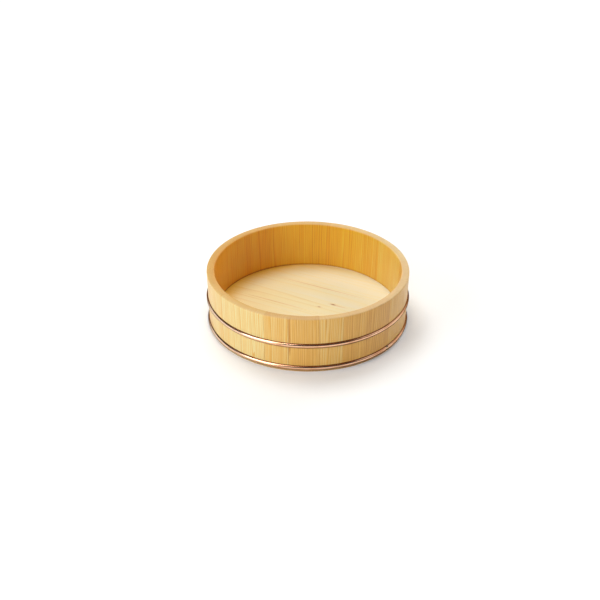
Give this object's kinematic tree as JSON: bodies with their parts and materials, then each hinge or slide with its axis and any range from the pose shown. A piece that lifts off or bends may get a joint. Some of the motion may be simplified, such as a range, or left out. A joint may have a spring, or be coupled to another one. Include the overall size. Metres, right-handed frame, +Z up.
{
  "type": "sushi rice tub",
  "caption": "Low round open tub of upright wooden staves around a planked bottom let into a groove, bound by half-round copper hoops, for cooling and dressing rice.",
  "frame": {"origin": "centre of the ring of stave feet, on the surface that the tub stands on", "axes": "+Z up along the tub's axis, X along the planks of the bottom, Y across them"},
  "size_m": [0.303, 0.303, 0.087],
  "materials": {
    "stave_wood": "planed, straight-grained honey wood, lightly sealed",
    "bottom_wood": "planed, pale cream wood, bare",
    "bamboo": "whittled bamboo, bare",
    "copper": "polished copper"
  },
  "bodies": {
    "root": {"stave_01": "stave_wood", "stave_02": "stave_wood", "stave_03": "stave_wood", "stave_04": "stave_wood", "stave_05": "stave_wood", "stave_06": "stave_wood", "stave_07": "stave_wood", "stave_08": "stave_wood", "stave_09": "stave_wood", "stave_10": "stave_wood", "stave_11": "stave_wood", "stave_12": "stave_wood", "stave_13": "stave_wood", "stave_14": "stave_wood", "stave_15": "stave_wood", "stave_16": "stave_wood", "stave_17": "stave_wood", "stave_18": "stave_wood", "stave_19": "stave_wood", "stave_20": "stave_wood", "stave_21": "stave_wood", "stave_22": "stave_wood", "stave_23": "stave_wood", "stave_24": "stave_wood", "bottom_plank_1": "bottom_wood", "bottom_plank_2": "bottom_wood", "bottom_plank_3": "bottom_wood", "bottom_plank_4": "bottom_wood", "stave_pin_01": "bamboo", "stave_pin_02": "bamboo", "stave_pin_03": "bamboo", "stave_pin_04": "bamboo", "stave_pin_05": "bamboo", "stave_pin_06": "bamboo", "stave_pin_07": "bamboo", "stave_pin_08": "bamboo", "stave_pin_09": "bamboo", "stave_pin_10": "bamboo", "stave_pin_11": "bamboo", "stave_pin_12": "bamboo", "stave_pin_13": "bamboo", "stave_pin_14": "bamboo", "stave_pin_15": "bamboo", "stave_pin_16": "bamboo", "stave_pin_17": "bamboo", "stave_pin_18": "bamboo", "stave_pin_19": "bamboo", "stave_pin_20": "bamboo", "stave_pin_21": "bamboo", "stave_pin_22": "bamboo", "stave_pin_23": "bamboo", "stave_pin_24": "bamboo", "bottom_pin_1": "bamboo", "bottom_pin_2": "bamboo", "bottom_pin_3": "bamboo", "bottom_pin_4": "bamboo", "bottom_pin_5": "bamboo", "bottom_pin_6": "bamboo", "upper_hoop": "copper", "lower_hoop": "copper"}
  },
  "joints": []
}
